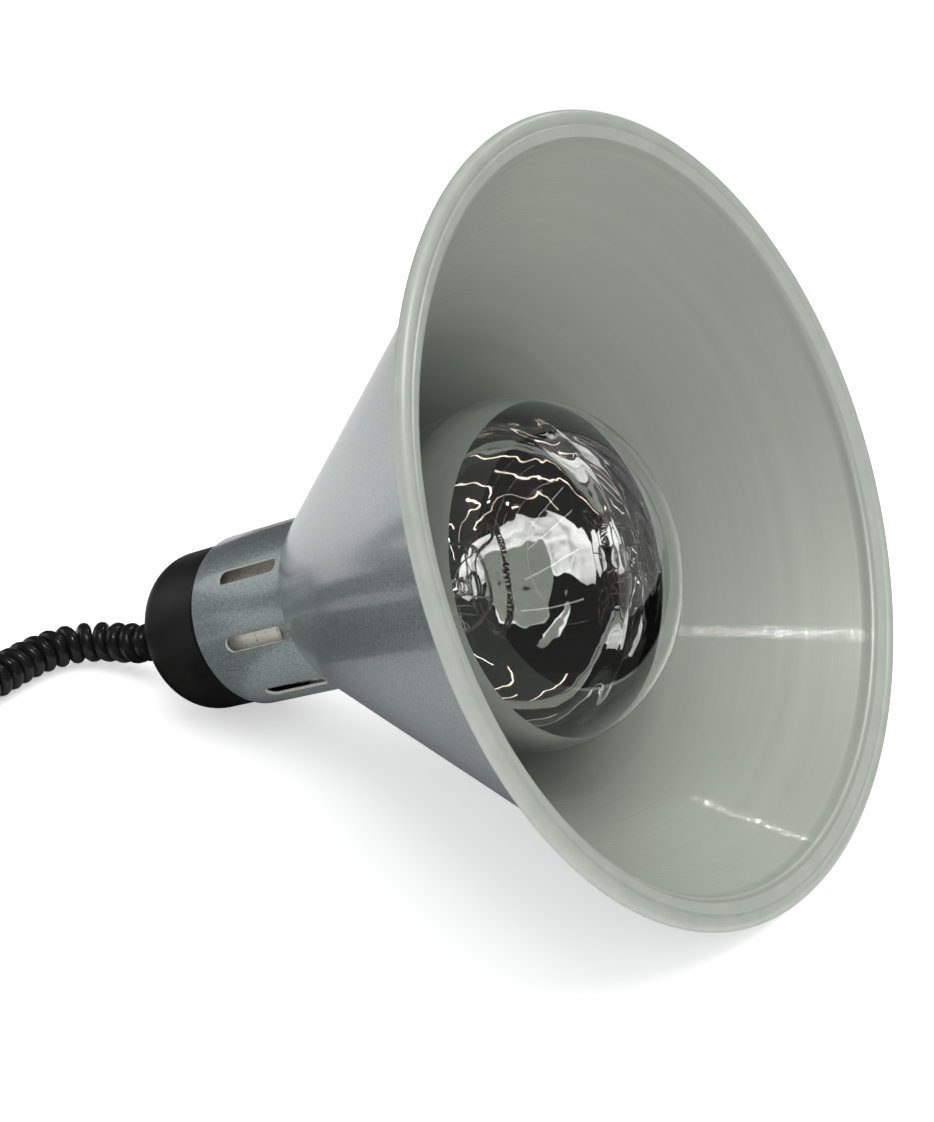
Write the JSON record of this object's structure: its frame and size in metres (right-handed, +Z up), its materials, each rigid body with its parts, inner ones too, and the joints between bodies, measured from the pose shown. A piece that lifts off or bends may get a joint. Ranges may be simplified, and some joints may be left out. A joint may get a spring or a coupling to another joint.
{
  "type": "pendant heat lamp",
  "caption": "Conical metal heat lamp shade with a slotted neck, a reflector bulb in a ceramic screw holder, a curly cord and a ceiling rose, lying on its side.",
  "frame": {"origin": "on the surface that the lamp lies on, under the middle of the lamp without its cord", "axes": "+X from the cord end towards the open rim, +Z up, +Y to the left of the rim; the lamp's own axis leans 24.1 degrees up from +X in the XZ plane"},
  "size_m": [0.5397, 0.3361, 0.2514],
  "materials": {
    "silver_paint": "satin",
    "black_plastic": "satin",
    "black_rubber": "satin",
    "cord_jacket": "gloss",
    "zinc_steel": "satin",
    "ceramic": "satin",
    "brass": "satin",
    "live_insulation": "satin",
    "neutral_insulation": "satin",
    "earth_insulation": "satin",
    "bulb_glass": "polished",
    "lamp_cap_metal": "satin",
    "black_glass": "gloss",
    "support_wire": "satin",
    "tungsten": "satin"
  },
  "bodies": {
    "root": {"shade_cone": "silver_paint", "neck_sleeve": "silver_paint", "flange_screw_1": "zinc_steel", "flange_screw_2": "zinc_steel", "flange_screw_3": "zinc_steel", "flange_nut_1": "zinc_steel", "flange_nut_2": "zinc_steel", "flange_nut_3": "zinc_steel", "end_cap": "black_plastic", "strain_relief": "black_rubber", "gland_nut": "zinc_steel", "cap_screw_1": "zinc_steel", "cap_screw_2": "zinc_steel", "cord_entry": "cord_jacket", "holder_bracket": "zinc_steel", "holder_base": "ceramic", "holder_skirt": "ceramic", "holder_shell": "brass", "holder_contact": "brass", "bracket_screw_1": "zinc_steel", "bracket_screw_2": "zinc_steel", "terminal_screw_1": "brass", "terminal_screw_2": "brass", "earth_screw": "brass", "lead_live": "live_insulation", "lead_neutral": "neutral_insulation", "lead_earth": "earth_insulation", "cord_lead": "cord_jacket", "cord_coil": "cord_jacket", "cord_tail": "cord_jacket", "cord_tie": "black_plastic", "rose_shell": "black_plastic", "rose_plate": "zinc_steel", "rose_terminal_block": "ceramic", "rose_cord_grip": "black_rubber", "rose_grip_nut": "zinc_steel", "cord_end": "cord_jacket", "rose_screw_1": "zinc_steel", "rose_screw_2": "zinc_steel"},
    "bulb_carriage": {"bulb_tip": "lamp_cap_metal"},
    "bulb": {"bulb_glass": "bulb_glass", "bulb_cap_shell": "lamp_cap_metal", "bulb_insulator": "black_glass", "bulb_stem": "bulb_glass", "bulb_support_1": "support_wire", "bulb_support_2": "support_wire", "bulb_support_3": "support_wire", "bulb_support_4": "support_wire", "bulb_support_5": "support_wire", "bulb_filament": "tungsten", "bulb_leadwire_1": "support_wire", "bulb_leadwire_2": "support_wire"}
  },
  "joints": [
    {"name": "bulb_travel", "type": "slide", "parent": "root", "child": "bulb_carriage", "axis": [0.9281, -0.0409, 0.37], "range_m": [0, 0.02]},
    {"name": "bulb_turn", "type": "hinge", "parent": "bulb_carriage", "child": "bulb", "pos_m": [-0.12276, 0, 0.02882], "axis": [0.9281, -0.0409, 0.37], "range_deg": [0, 1984]}
  ],
  "couplings": [
    {"joint": "bulb_travel", "follows": "bulb_turn", "m_per_rad": 0.00057757}
  ]
}
